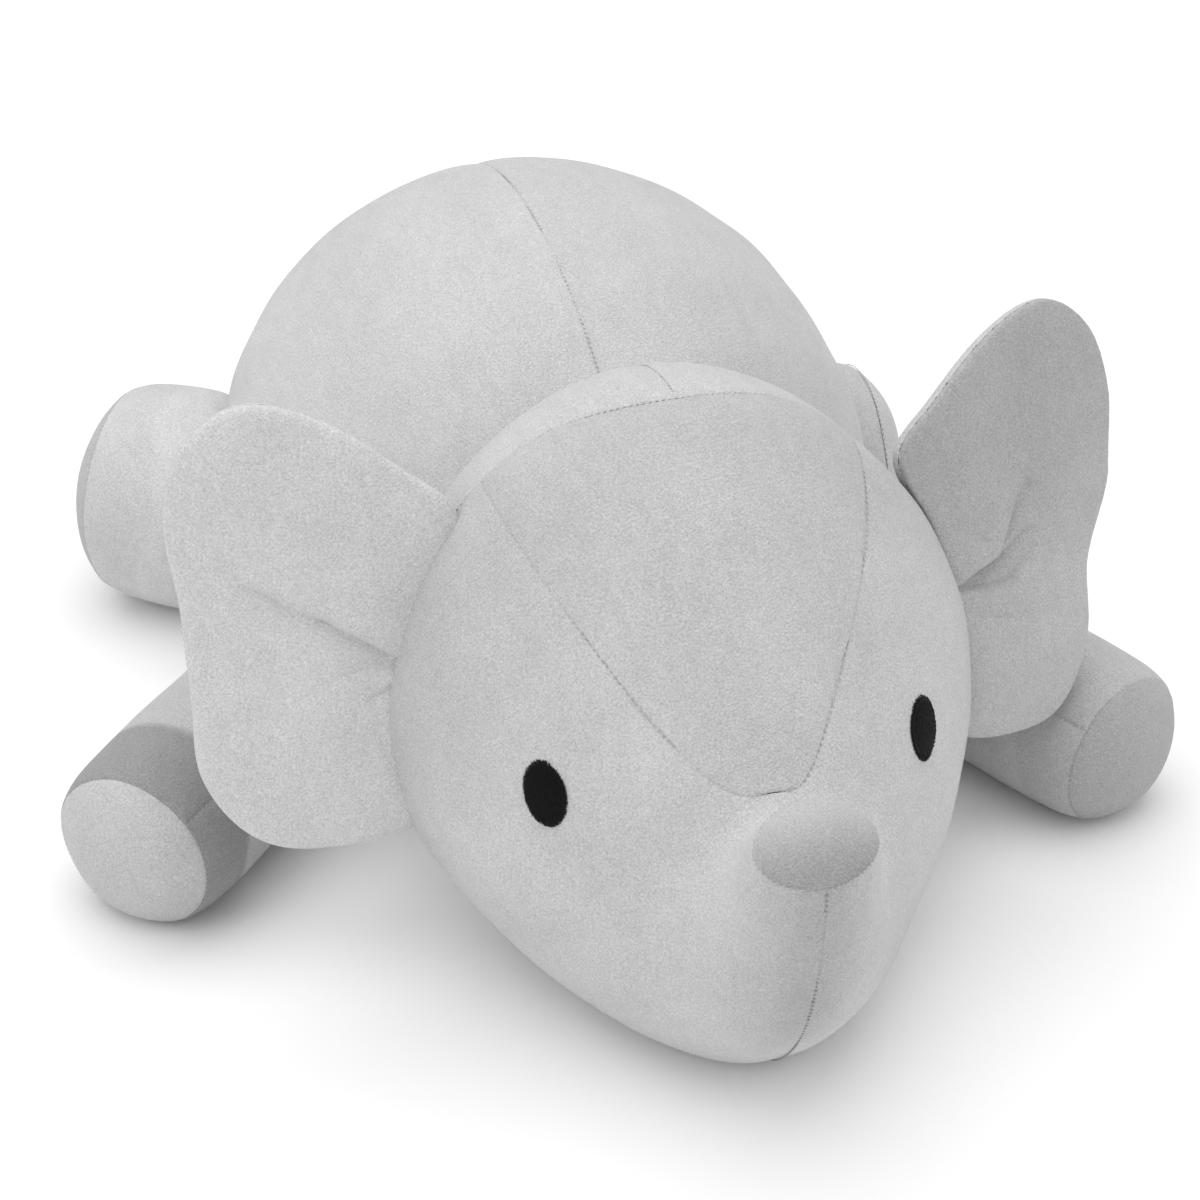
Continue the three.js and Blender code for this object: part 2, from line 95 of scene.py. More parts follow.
# An ear's outline in its own plane: x outwards from the middle of its root, y up
EAR_OUTLINE = [
    (-5, 72), (20, 90), (58, 108), (92, 110), (114, 88), (118, 56), (108, 20),
    (99, -22), (91, -58), (68, -82), (38, -86), (-6, -70), (2, -34), (6, 0), (3, 34),
]
EAR_CENTRE = (64, 8)
EAR_TUCK_SPAN = (20, -25)
EAR_WIDTH = 118
EAR_CUP = 10
EAR_SWEEP = {"left": math.radians(13), "right": math.radians(4)}

BALL_U = 0.25  # where a leg's root ball ends
SOLE_U = 0.86  # where its sole begins
LEG_SETTLE = 6
# heading is which way a leg points, seam where its sleeve is sewn shut, both in degrees
LEGS = {
    "front_left": {
        "root": (138, -74), "heading": 25, "length": 196, "radius": 43, "dome": 16, "seam": 140,
    },
    "front_right": {
        "root": (-138, -78), "heading": -41, "length": 163, "radius": 44, "dome": 17, "seam": 40,
    },
    "rear_left": {
        "root": (112, 26), "heading": 88, "length": 78, "radius": 58, "dome": 20, "seam": 0,
    },
    "rear_right": {
        "root": (-112, 38), "heading": -122, "length": 112, "radius": 61, "dome": 20, "seam": 180,
    },
}
LEG_END = {"narrow": 0.09, "reach": 14}  # a leg narrows towards its sole
SLEEVE_U = BALL_U / 2  # where a sleeve's cloth ends, inside the torso
SOLE_FULLNESS = 2.4  # a higher number makes a sole flatter in the middle
TAIL = {"root": (0, 183, 118), "tip": (0, 226, 58), "radius": 10, "tip_radius": 6}
TAIL_ENDS = {"bluntness": 2.2, "fullness": 0.7}  # how a tail's ends close

# Sewing: how the cloth is pulled in along a seam
SEAM_PULL = 1.0
PULL_REACH = 9.0
SEAM_CREASE = 0.95
CREASE_REACH = 1.2
PUCKER = 0.24
PUCKER_REACH = 5.0
PUCKER_WAVE = 7.0
PUCKER_PARTS = [(1.0, 1.0, 0.0), (0.7, 1.62, 1.3), (0.6, 0.57, 2.1)]  # height, length, shift
PULL = {"torso": 1.0, "head": 0.8, "leg": 0.9, "tail": 0.5}  # how hard each body's seams draw
STITCH_PITCH = 2.8
STITCH_DEPTH = 1.5  # how far below the panels' surface the thread lies
EAR_STITCH_DEPTH = 0.1
TAIL_STITCH_DEPTH = 0.9
TRUNK_STITCH_RISE = 0.3  # the trunk's front seam has coarser thread that lies higher
LUMP_HEIGHT = 0.55  # unevenness of the filling
LUMP_WAVE = 62.0
LUMP_SEED = 5
FLOOR_GAP = 0.05  # the least height of the cloth over the floor
EAR_FLOOR_GAP = 0.3

# How many rows and columns of faces each panel has, and how much they bunch near the seams
COLUMN_BUNCH = 0.85
TORSO_ROWS = 230
TORSO_BUNCH = 0.5
BACK_COLUMNS = 120
BELLY_COLUMNS = 90
HEAD_BUNCH = 0.75
CHEEK_GRID = (170, 140)
GUSSET_GRID = (130, 130)
BACK_OF_HEAD_GRID = (90, 150)
TIP_GRID = (39, 160)
TIP_BUNCH = 1.5
SLEEVE_GRID = (90, 150)
SLEEVE_BUNCH = 0.7
SOLE_GRID = (45, 150)
SOLE_BUNCH = 1.4
EAR_GRID = (110, 420)
EAR_BUNCH = 1.15
TAIL_GRID = (69, 48)

# How many points each seam is first worked out at, and how near to a body's poles it comes
SEAM_POINTS = {"torso": 1200, "head": 1500, "leg": 900, "tail": 300}
TORSO_POLE_GAP = 0.004
TAIL_POLE_GAP = 0.02

# How light the pile lies on each panel, about 1; the head's, ears' and legs' tables also hold painted light
# and shade
BACK_NAP = {"left": 0.97, "right": 1.0, "belly": 0.97}
# The trunk's front and the front of its end are darkened as painted shade where they face down; the face is
# also darker by the crown seam.
HEAD_NAP_AND_SHADE = {"face": 1.03, "crown": 0.14, "back": 1.0, "trunk_front_shade": 0.24, "tip": 0.89, "tip_front_shade": 0.32}
# Painted light and shade on the ears: the right ear is painted lighter than the left, and each front
# darkens towards its top as painted shade.
EAR_NAP_AND_PAINTED_LIGHT = {
    "left": {"front": 0.91, "top": 0.16, "back": 1.0},
    "right": {"front": 1.13, "top": 0.02, "back": 1.1},
}
TAIL_NAP = 0.97
# end is a painted shadow near each sole, deepest on the front legs under the ears and head
LEG_NAP_AND_SHADOW = {
    "front_left": {"sleeve": 0.98, "end": 0.10, "sole": 0.75},
    "front_right": {"sleeve": 0.90, "end": 0.34, "sole": 0.96},
    "rear_left": {"sleeve": 1.0, "end": 0.08, "sole": 0.95},
    "rear_right": {"sleeve": 1.1, "end": 0.06, "sole": 0.84},
}
# Where the painted shade and the darker band by the crown seam begin and end: y on the head and trunk,
# height on an ear
CROWN_SHADE = (-325, -262)
TRUNK_SHADE = (-392, -428)
TRUNK_SHADE_WIDTH = 22
TIP_SHADE = (-394, -434)
EAR_SHADE = (-40, 70)
HEAD_MOTTLE = {"amount": 0.02, "wave": 90, "seed": 21}
LEG_SHADE = {"length": 34, "sway": 7, "wave": 17, "edge": 2}  # the painted shadow near the sole and its wavering edge


# ---------- curves ----------

def catmull_rom(points, at, closed=False):
    """Points of a uniform Catmull-Rom curve at the parameters in at, from 0 to 1."""
    knots = np.asarray(points, float)
    count = len(knots)
    if closed:
        padded = np.vstack([knots[-1:], knots, knots[:2]])
        spans = count
    else:
        padded = np.vstack([2 * knots[0] - knots[1], knots, 2 * knots[-1] - knots[-2]])
        spans = count - 1
    place = np.clip(np.asarray(at, float), 0, 1) * spans
    first = np.minimum(place.astype(int), spans - 1)
    t = (place - first)[..., None]
    p0, p1, p2, p3 = (padded[first + i] for i in range(4))
    start = (p2 - p0) / 2
    end = (p3 - p1) / 2
    bend = 3 * (p2 - p1) - 2 * start - end
    twist = 2 * (p1 - p2) + start + end
    return p1 + start * t + bend * t ** 2 + twist * t ** 3


def resample(points, step):
    """The same line with its points evenly spaced, about step apart."""
    points = np.asarray(points, float)
    lengths = np.linalg.norm(np.diff(points, axis=0), axis=1)
    along = np.concatenate([[0], np.cumsum(lengths)])
    places = np.linspace(0, along[-1], max(int(along[-1] / step), 2) + 1)
    return np.stack([np.interp(places, along, points[:, k]) for k in range(3)], axis=1)


def bunched(count, bunch):
    """Numbers from 0 to 1, closer together near both ends."""
    t = np.linspace(0, 1, count + 1)
    return t - bunch * np.sin(TURN * t) / TURN


def ripple(points, wave, seed, waves=10):
    """Smooth unevenness between about -1 and 1, from seeded plane waves."""
    chance = np.random.default_rng(seed)
    total = np.zeros(points.shape[:-1])
    for _ in range(waves):
        direction = chance.normal(size=3)
        direction /= np.linalg.norm(direction)
        rate = TURN / wave * chance.uniform(0.7, 1.5)
        total += np.sin(points @ direction * rate + chance.uniform(0, TURN))
    return total / math.sqrt(waves)


def smooth_step(low, high, value):
    """From 0 at low to 1 at high, easing in and out."""
    t = np.clip((value - low) / (high - low), 0, 1)
    return t * t * (3 - 2 * t)


# ---------- surfaces: u runs from a body's back pole to its front pole, v around it ----------

def settle(z, height):
    """Stuffing flattens where it meets the floor."""
    rounded = (z + height) ** 2 / (4 * height)
    return np.where(z >= height, z, np.where(z <= -height, 0, rounded))


def torso_surface(u, v):
    """An uneven egg: longer in front, taller above its waist, flat where it lies on the floor."""
    latitude = math.pi * u
    ring = np.sin(latitude)
    length = np.where(u < 0.5, TORSO["rear_length"], TORSO["front_length"])
    height = np.where((v < 0) | (v > math.pi), TORSO["belly"], TORSO["crown"])
    z = TORSO["waist"] + height * ring * np.sin(v)
    x = TORSO["half_width"] * ring * np.cos(v)
    return np.stack([x, length * np.cos(latitude), settle(z, TORSO_SETTLE)], axis=-1)


def head_stations():
    """Crown line, chin line and half width at each ring, from the back of the head to the trunk's end."""
    (top_y, top_z), (chin_y, chin_z), width = FACE[0]
    middle = (HEAD["top"] + chin_z) / 2
    stations = []
    for i in range(CAP_RINGS):
        angle = QUARTER * i / CAP_RINGS
        size = math.sin(angle) ** (2 / HEAD["rear_fullness"])
        back = (HEAD["rear_y"] - HEAD["seam_y"]) * math.cos(angle) ** (2 / HEAD["rear_fullness"])
        top = (top_y + back, middle + (top_z - middle) * size)
        chin = (chin_y + back, middle + (chin_z - middle) * size)
        stations.append((top, chin, width * size))
    return stations + FACE


STATIONS = head_stations()
TOP_LINE = [(0, *top) for top, chin, width in STATIONS]
CHIN_LINE = [(0, *chin) for top, chin, width in STATIONS]
WIDTH_LINE = [(width, 0, 0) for top, chin, width in STATIONS]


def crown_bow(u, v):
    """How far the crown seam bows back on each side of the spine."""
    near = np.maximum(0, 1 - ((u - SEAM_U) / CROWN_BOW["reach"]) ** 2) ** 2
    return np.where((v > 0) & (v < math.pi), CROWN_BOW["depth"] * near * np.sin(2 * v) ** 2, 0)


def head_surface(u, v):
    """The head and trunk between their crown and chin lines, closed by a low dome at the trunk's end."""
    u, v = np.broadcast_arrays(np.asarray(u, float), np.asarray(v, float))
    along = np.minimum((u - crown_bow(u, v)) / TIP_U, 1)
    top = catmull_rom(TOP_LINE, along)
    chin = catmull_rom(CHIN_LINE, along)
    leaning = np.maximum(0, (along - TRUNK_LEAN["from"]) / (1 - TRUNK_LEAN["from"]))
    top[..., 0] = TRUNK_LEAN["offset"] * leaning
    middle = chin + (top - chin) * HEAD_SHAPE["waist_share"]
    lift = np.sin(v)
    towards = np.where((lift > 0)[..., None], top, chin)
    point = middle + (towards - middle) * np.abs(lift)[..., None]
    share = 1 - HEAD_SHAPE["narrow_top"] * lift - HEAD_SHAPE["narrow_ends"] * lift ** 2
    point[..., 0] += catmull_rom(WIDTH_LINE, along)[..., 0] * np.cos(v) * share
    inwards = np.clip((u - TIP_U) / (1 - TIP_U), 0, 1)[..., None]
    centre = (chin + top) / 2
    facing = np.cross((1, 0, 0), top - chin)
    facing /= np.linalg.norm(facing, axis=-1, keepdims=True)
    facing *= np.sign(facing[..., 2:3])
    point = point + (centre - point) * inwards
    point += facing * TIP_DOME * (1 - (1 - inwards) ** 2)
    point[..., 0] += HEAD["lean"] * point[..., 2] / HEAD["top"]
    point[..., 2] = settle(point[..., 2], HEAD_SETTLE)
    return point


def gusset_angle(u):
    """Half the angle of the crown gusset: its sides bow out, then close to a point."""
    share = np.clip((APEX_U - u) / (APEX_U - SEAM_U), 0, 1)
    return GUSSET_ANGLE * np.sin(QUARTER * share) ** GUSSET_FULLNESS


def leg_surface(leg):
    """A leg's surface: a ball at its root, a tube, then a domed sole."""
    heading = math.radians(leg["heading"])
    turn = np.array([
        [math.cos(heading), -math.sin(heading), 0],
        [math.sin(heading), math.cos(heading), 0],
        [0, 0, 1],
    ])

    def surface(u, v):
        u, v = np.broadcast_arrays(np.asarray(u, float), np.asarray(v, float))
        ball = QUARTER * u / BALL_U
        tube = (u - BALL_U) / (SOLE_U - BALL_U)
        inwards = (u - SOLE_U) / (1 - SOLE_U)
        rounding = 1 - LEG_END["narrow"] * np.exp(-(1 - tube) * leg["length"] / LEG_END["reach"])
        sole_size = (1 - LEG_END["narrow"]) * (1 - inwards)
        size = np.where(u < BALL_U, np.sin(ball), np.where(u < SOLE_U, rounding, sole_size))
        radius = leg["radius"] * size
        ball_reach = -leg["radius"] * np.cos(ball)
        tube_reach = leg["length"] * tube
        sole_reach = leg["length"] + leg["dome"] * (1 - (1 - inwards) ** SOLE_FULLNESS)
        along = np.where(u < BALL_U, ball_reach, np.where(u < SOLE_U, tube_reach, sole_reach))
        local = np.stack([radius * np.cos(v), -along, radius * np.sin(v)], axis=-1)
        point = local @ turn.T
        point[..., 0] += leg["root"][0]
        point[..., 1] += leg["root"][1]
        point[..., 2] = settle(point[..., 2] + leg["radius"] - LEG_SETTLE, LEG_SETTLE)
        return point

    return surface


def tail_surface(u, v):
    root, tip = np.array(TAIL["root"], float), np.array(TAIL["tip"], float)
    length = np.linalg.norm(tip - root)
    down = (tip - root) / length
    side = np.array([1.0, 0, 0])
    across = np.cross(down, side)
    angle = math.pi * u
    size = np.minimum(1, np.sin(angle) * TAIL_ENDS["bluntness"]) ** TAIL_ENDS["fullness"]
    radius = (TAIL["radius"] + (TAIL["tip_radius"] - TAIL["radius"]) * u) * size
    along = length * (0.5 - 0.5 * np.cos(angle))
    return (root + down * along[..., None] + side * (radius * np.cos(v))[..., None]
            + across * (radius * np.sin(v))[..., None])


def outward(surface, u, v):
    """The direction straight out of a surface."""
    step = 1e-3
    middle = np.clip(u, 2 * step, 1 - 2 * step)
    along_u = surface(middle + step, v) - surface(middle - step, v)
    along_v = surface(middle, v + step) - surface(middle, v - step)
    normal = np.cross(along_v, along_u)
    length = np.linalg.norm(normal, axis=-1, keepdims=True)
    return normal / np.maximum(length, 1e-9)


# ---------- seams ----------

SEAM_STEP = 0.4


def point_tree(points):
    """A tree that finds the nearest of these points."""
    tree = KDTree(len(points))
    for i, point in enumerate(points):
        tree.insert(point, i)
    tree.balance()
    return tree


def seam_on(surface, u, v):
    """A seam as a line on a surface, with the surface's outward directions along it."""
    u, v = np.broadcast_arrays(np.asarray(u, float), np.asarray(v, float))
    line = resample(surface(u, v), SEAM_STEP)
    tree = point_tree(surface(u, v))
    nearest = [tree.find(point)[1] for point in line]
    return {"line": line, "facing": outward(surface, u, v)[nearest]}


def seam_reach(points, seams):
    """How far each point is from the nearest seam, and where along the seams that is."""
    tree = point_tree(np.vstack([seam["line"] for seam in seams]))
    found = [tree.find(point) for point in points]
    distance = np.array([hit[2] for hit in found])
    along = np.array([hit[1] for hit in found]) * SEAM_STEP
    return distance, along


def pucker_wave(along):
    """Unevenness along a seam where the stitches gather the cloth."""
    total = np.zeros(len(along))
    for height, length, shift in PUCKER_PARTS:
        total += height * np.sin(along * TURN / (PUCKER_WAVE * length) + shift)
    return total / 2


def seam_depth(points, seams, pull):
    """How far the seams draw the cloth in at each point."""
    distance, along = seam_reach(points, seams)
    soft = SEAM_PULL * pull * np.exp(-(distance / PULL_REACH) ** 2)
    crease = SEAM_CREASE * pull * np.exp(-distance / CREASE_REACH)
    pucker = PUCKER * pull * np.exp(-distance / PUCKER_REACH) * pucker_wave(along)
    return soft + crease + pucker


# ---------- meshes ----------

def grid_faces(rows, columns):
    """Four-cornered faces of a grid of rows + 1 by columns + 1 points."""
    index = np.arange((rows + 1) * (columns + 1)).reshape(rows + 1, columns + 1)
    corners = [index[:-1, :-1], index[:-1, 1:], index[1:, 1:], index[1:, :-1]]
    return np.stack([c.ravel() for c in corners], axis=1)


WELD_DISTANCE = 1e-5  # in metres
LEAST_EDGE = 1e-6


def make_piece(name, points, faces, material, nap_and_painted_light=None):
    """A smooth mesh from points in millimetres. Its last argument is how light the cloth is at each point,
    about 1: the pile's lightness, with painted light and shade on some pieces.
    """
    mesh = bpy.data.meshes.new(name)
    mesh.vertices.add(len(points))
    mesh.vertices.foreach_set("co", (np.asarray(points) * MM).astype(np.float32).ravel())
    mesh.loops.add(faces.size)
    mesh.loops.foreach_set("vertex_index", faces.astype(np.int32).ravel())
    mesh.polygons.add(len(faces))
    mesh.polygons.foreach_set("loop_start", np.arange(0, faces.size, faces.shape[1], dtype=np.int32))
    mesh.update(calc_edges=True)
    if nap_and_painted_light is not None:
        lightness = mesh.attributes.new("nap_and_painted_light", "FLOAT", "POINT")
        lightness.data.foreach_set("value", np.asarray(nap_and_painted_light, np.float32).ravel())
    sewn = bmesh.new()
    sewn.from_mesh(mesh)
    bmesh.ops.remove_doubles(sewn, verts=sewn.verts, dist=WELD_DISTANCE)
    bmesh.ops.dissolve_degenerate(sewn, edges=sewn.edges, dist=LEAST_EDGE)
    sewn.to_mesh(mesh)
    sewn.free()
    mesh.shade_smooth()
    mesh.materials.append(material)
    piece = bpy.data.objects.new(name, mesh)
    bpy.context.scene.collection.objects.link(piece)
    return piece


def join_parts(parts):
    """Several (points, faces) as one."""
    points, faces, count = [], [], 0
    for part_points, part_faces in parts:
        points.append(part_points)
        faces.append(part_faces + count)
        count += len(part_points)
    return np.vstack(points), np.vstack(faces)


def between(low, high):
    """A panel's two edges, from one function for each."""
    return lambda u: (low(u), high(u))


def even_nap(lightness):
    """Pile that lies the same way all over a panel."""
    return lambda points: np.full(len(points), lightness)


def panel_piece(name, surface, u, v_limits, columns, seams, pull, nap_and_painted_light, shape=None):
    """One sewn velvet panel.

    u are its rows and v_limits(u) its two edges. shape moves points further along their normals.
    """
    low, high = v_limits(u)
    across = bunched(columns, COLUMN_BUNCH)
    grid_u = np.repeat(u[:, None], columns + 1, axis=1)
    grid_v = low[:, None] + (high - low)[:, None] * across[None, :]
    points = surface(grid_u, grid_v).reshape(-1, 3)
    facing = outward(surface, grid_u, grid_v).reshape(-1, 3)
    lift = LUMP_HEIGHT * ripple(points, LUMP_WAVE, LUMP_SEED) - seam_depth(points, seams, pull)
    if shape is not None:
        lift = lift + shape(points)
    moved = points + facing * lift[:, None]
    moved[:, 2] = np.maximum(moved[:, 2], FLOOR_GAP)
    return make_piece(name, moved, grid_faces(len(u) - 1, columns), VELVET, nap_and_painted_light(points))


def finish_piece(piece, body, nodes=()):
    """Says what a sewn piece is: the body it rides on, and the solids that it stands for.

    A piece without a body is left unattached, and its transform is baked afterwards.
    """
    if body is not None:
        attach(piece, body)
    if nodes:
        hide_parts(*nodes)


def stitch_beads(seams, depth, radius=0.27, length=0.85, slant=0.5):
    """Short turns of thread along seams, each an oval bead lying across the seam line at a slant."""
    rings, sides = 4, 6
    polar = np.linspace(0, math.pi, rings + 1)
    round_it = np.linspace(0, TURN, sides + 1)
    bead = np.stack([
        np.outer(np.cos(polar), np.ones(sides + 1)) * length,
        np.outer(np.sin(polar), np.cos(round_it)) * radius,
        np.outer(np.sin(polar), np.sin(round_it)) * radius,
    ], axis=-1).reshape(-1, 3)
    faces = grid_faces(rings, sides)
    step = int(round(STITCH_PITCH / SEAM_STEP))
    parts = []
    for seam in seams:
        line, out = seam["line"], seam["facing"]
        for i in range(step, len(line) - step, step):
            ahead = line[i + 1] - line[i - 1]
            ahead /= np.linalg.norm(ahead)
            up = out[i] - ahead * (out[i] @ ahead)
            up /= np.linalg.norm(up)
            side = np.cross(up, ahead)
            lie = ahead * math.cos(slant) + side * math.sin(slant)
            across = np.cross(up, lie)
            parts.append((line[i] - up * depth + bead @ np.stack([lie, across, up]), faces))
    return join_parts(parts)


# ---------- materials ----------

def node_material(name):
    material = bpy.data.materials.new(name)
    material.use_nodes = True
    nodes, links = material.node_tree.nodes, material.node_tree.links
    return material, nodes, links, nodes["Principled BSDF"]


def noise(nodes, links, vector, scale, detail):
    texture = nodes.new("ShaderNodeTexNoise")
    texture.inputs["Scale"].default_value = scale
    texture.inputs["Detail"].default_value = detail
    links.new(vector, texture.inputs["Vector"])
    return texture.outputs["Fac"]


def scaled(nodes, links, value, low, high):
    """value from 0 to 1 turned into low to high."""
    span = nodes.new("ShaderNodeMapRange")
    span.inputs["To Min"].default_value = low
    span.inputs["To Max"].default_value = high
    links.new(value, span.inputs["Value"])
    return span.outputs["Result"]


def times(nodes, links, a, b):
    product = nodes.new("ShaderNodeMath")
    product.operation = "MULTIPLY"
    links.new(a, product.inputs[0])
    links.new(b, product.inputs[1])
    return product.outputs["Value"]


VELVET_GREY = 0.575
STREAK_SCALE = (1.0, 0.32, 0.6)  # the pile's brushed marks run along the body


def velvet():
    """Short brushed pile: mottled where it lies differently, speckled up close, light at grazing angles."""
    material, nodes, links, shader = node_material("velvet")
    place = nodes.new("ShaderNodeTexCoord").outputs["Object"]
    mapping = nodes.new("ShaderNodeMapping")
    mapping.inputs["Scale"].default_value = STREAK_SCALE
    links.new(place, mapping.inputs["Vector"])
    streaks = mapping.outputs["Vector"]
    tone = nodes.new("ShaderNodeAttribute")
    tone.attribute_name = "nap_and_painted_light"
    patches = noise(nodes, links, streaks, scale=26, detail=4.0)
    mottle = scaled(nodes, links, patches, low=0.90, high=1.10)
    marks = noise(nodes, links, streaks, scale=160, detail=3.0)
    brushed = scaled(nodes, links, marks, low=0.93, high=1.07)
    specks = noise(nodes, links, place, scale=1150, detail=1.0)
    speckle = scaled(nodes, links, specks, low=0.64, high=1.36)
    lightness = times(nodes, links, times(nodes, links, mottle, brushed), speckle)
    # the attribute also carries painted light and shade, set on the head, ears and legs
    lightness = times(nodes, links, lightness, tone.outputs["Fac"])
    grey = nodes.new("ShaderNodeMath")
    grey.operation = "MULTIPLY"
    grey.inputs[1].default_value = VELVET_GREY
    links.new(lightness, grey.inputs[0])
    links.new(grey.outputs["Value"], shader.inputs["Base Color"])
    tufts = noise(nodes, links, place, scale=1200, detail=2.0)
    bump = nodes.new("ShaderNodeBump")
    bump.inputs["Strength"].default_value = 0.9
    bump.inputs["Distance"].default_value = 0.0008
    links.new(tufts, bump.inputs["Height"])
    links.new(bump.outputs["Normal"], shader.inputs["Normal"])
    shader.inputs["Roughness"].default_value = 0.92
    shader.inputs["Specular IOR Level"].default_value = 0.15
    shader.inputs["Sheen Weight"].default_value = 0.22
    shader.inputs["Sheen Roughness"].default_value = 0.35
    return material


def thread(name, low, high, roughness, gloss):
    """Twisted thread, with a fine ply that catches the light."""
    material, nodes, links, shader = node_material(name)
    place = nodes.new("ShaderNodeTexCoord").outputs["Object"]
    ply = noise(nodes, links, place, scale=2600, detail=2.0)
    links.new(scaled(nodes, links, ply, low, high), shader.inputs["Base Color"])
    bump = nodes.new("ShaderNodeBump")
    bump.inputs["Strength"].default_value = 0.6
    bump.inputs["Distance"].default_value = 0.0002
    links.new(ply, bump.inputs["Height"])
    links.new(bump.outputs["Normal"], shader.inputs["Normal"])
    shader.inputs["Roughness"].default_value = roughness
    shader.inputs["Specular IOR Level"].default_value = gloss
    return material


VELVET = velvet()
SEAM_THREAD = thread("seam_thread", low=0.38, high=0.52, roughness=0.8, gloss=0.2)
TRUNK_THREAD = thread("trunk_thread", low=0.26, high=0.40, roughness=0.8, gloss=0.2)
EYE_THREAD = thread("eye_thread", low=0.0, high=0.012, roughness=0.3, gloss=0.14)


# ---------- camera, floor and light, in metres ----------

CAMERA_PLACE = (-0.2967, -1.1492, 0.7757)
CAMERA_AIM = (-0.01674, -0.17298, 0.11625)
FLOOR_HALF = 6.0
FLOOR_WHITE = 0.97
SKY_STRENGTH = 0.62
LIGHT_AIM = (0, -0.1, 0.1)


def make_camera():
    data = bpy.data.cameras.new("camera")
    data.lens = 78
    data.sensor_width = 36
    camera = bpy.data.objects.new("camera", data)
    camera.location = CAMERA_PLACE
    ahead = Vector(CAMERA_AIM) - camera.location
    camera.rotation_euler = ahead.to_track_quat("-Z", "Y").to_euler()
    bpy.context.scene.collection.objects.link(camera)
    bpy.context.scene.camera = camera


def make_floor():
    half = FLOOR_HALF
    corners = [(-half, -half, 0), (half, -half, 0), (half, half, 0), (-half, half, 0)]
    mesh = bpy.data.meshes.new("floor")
    mesh.from_pydata(corners, [], [(0, 1, 2, 3)])
    material, _, _, shader = node_material("floor")
    shader.inputs["Base Color"].default_value = (FLOOR_WHITE, FLOOR_WHITE, FLOOR_WHITE, 1)
    shader.inputs["Roughness"].default_value = 0.9
    mesh.materials.append(material)
    floor = bpy.data.objects.new("floor", mesh)
    bpy.context.scene.collection.objects.link(floor)


def area_light(name, location, size, power):
    data = bpy.data.lights.new(name, "AREA")
    data.shape = "DISK"
    data.size = size
    data.energy = power
    light = bpy.data.objects.new(name, data)
    light.location = location
    ahead = Vector(LIGHT_AIM) - Vector(location)
    light.rotation_euler = ahead.to_track_quat("-Z", "Y").to_euler()
    bpy.context.scene.collection.objects.link(light)


def make_light():
    scene = bpy.context.scene
    world = bpy.data.worlds.new("studio")
    world.use_nodes = True
    background = world.node_tree.nodes["Background"]
    background.inputs["Color"].default_value = (1, 1, 1, 1)
    background.inputs["Strength"].default_value = SKY_STRENGTH
    scene.world = world
    scene.view_settings.view_transform = "Standard"
    area_light("overhead", (-0.2, 0.2, 2.4), size=3.4, power=42)
    area_light("left", (-1.9, -0.9, 1.3), size=1.6, power=7)
    area_light("right", (1.9, -0.7, 1.0), size=1.6, power=5)


make_camera()
make_floor()
make_light()


# ---------- how bodies press on each other ----------

def leg_gap(leg, points):
    """How far points are outside a leg's tube; negative inside it."""
    heading = math.radians(leg["heading"])
    ahead = np.array([math.sin(heading), -math.cos(heading), 0])
    start = np.array([*leg["root"], leg["radius"] - LEG_SETTLE])
    along = np.clip((points - start) @ ahead, 0, leg["length"])
    return np.linalg.norm(points - start - along[:, None] * ahead, axis=1) - leg["radius"]


def torso_gap(points):
    """About how far points are outside the torso."""
    length = np.where(points[:, 1] > 0, TORSO["rear_length"], TORSO["front_length"])
    height = np.where(points[:, 2] < TORSO["waist"], TORSO["belly"], TORSO["crown"])
    scaled_to = np.stack([points[:, 0] / TORSO["half_width"], points[:, 1] / length,
                          (points[:, 2] - TORSO["waist"]) / height], axis=1)
    reach = np.linalg.norm(scaled_to, axis=1)
    return (reach - 1) * np.linalg.norm(points - (0, 0, TORSO["waist"]), axis=1) / np.maximum(reach, 0.1)


# Where two bodies are sewn together, both cloths are drawn in by this much, over this reach.
SEWN_DRAW = 5.0
SEWN_REACH = 9.0


def drawn_in(gap):
    """How far the cloth moves outwards, always below 0, at a distance from the other body."""
    return -SEWN_DRAW * np.exp(-np.maximum(gap, 0) / SEWN_REACH)


def drawn_to_torso(points):
    return drawn_in(torso_gap(points))


def drawn_to_legs(points):
    return sum(drawn_in(leg_gap(leg, points)) for leg in LEGS.values())


# ---------- torso ----------

def level(angle):
    """An edge that stays at one angle all the way along."""
    return lambda u: np.full(len(u), angle)


def spine(u):
    """The seam along the back."""
    return QUARTER + SPINE_DRIFT * (1 - u)


def make_torso():
    rows = bunched(TORSO_ROWS, TORSO_BUNCH)
    along = TORSO_POLE_GAP + (1 - 2 * TORSO_POLE_GAP) * np.linspace(0, 1, SEAM_POINTS["torso"])
    right_side = level(math.pi - SIDE_SEAM)
    left_side = level(SIDE_SEAM)
    left_side_again = level(TURN + SIDE_SEAM)
    seams = [seam_on(torso_surface, along, edge(along)) for edge in (spine, left_side, right_side)]
    panels = [
        ("back_left", left_side, spine, BACK_COLUMNS, "left", ["back_panel_left", "torso_filling"]),
        ("back_right", spine, right_side, BACK_COLUMNS, "right", ["back_panel_right"]),
        ("belly", right_side, left_side_again, BELLY_COLUMNS, "belly", ["belly_panel"]),
    ]
    for name, low, high, columns, tone, nodes in panels:
        piece = panel_piece(f"torso_{name}", torso_surface, rows, between(low, high), columns,
                            seams, PULL["torso"], even_nap(BACK_NAP[tone]), drawn_to_legs)
        finish_piece(piece, "torso", nodes)
    beads = make_piece("torso_stitching", *stitch_beads(seams, STITCH_DEPTH), SEAM_THREAD)
    finish_piece(beads, "torso")


make_torso()


# ---------- head ----------

# A panel's edges: where it begins and ends around the head, at each of its rows

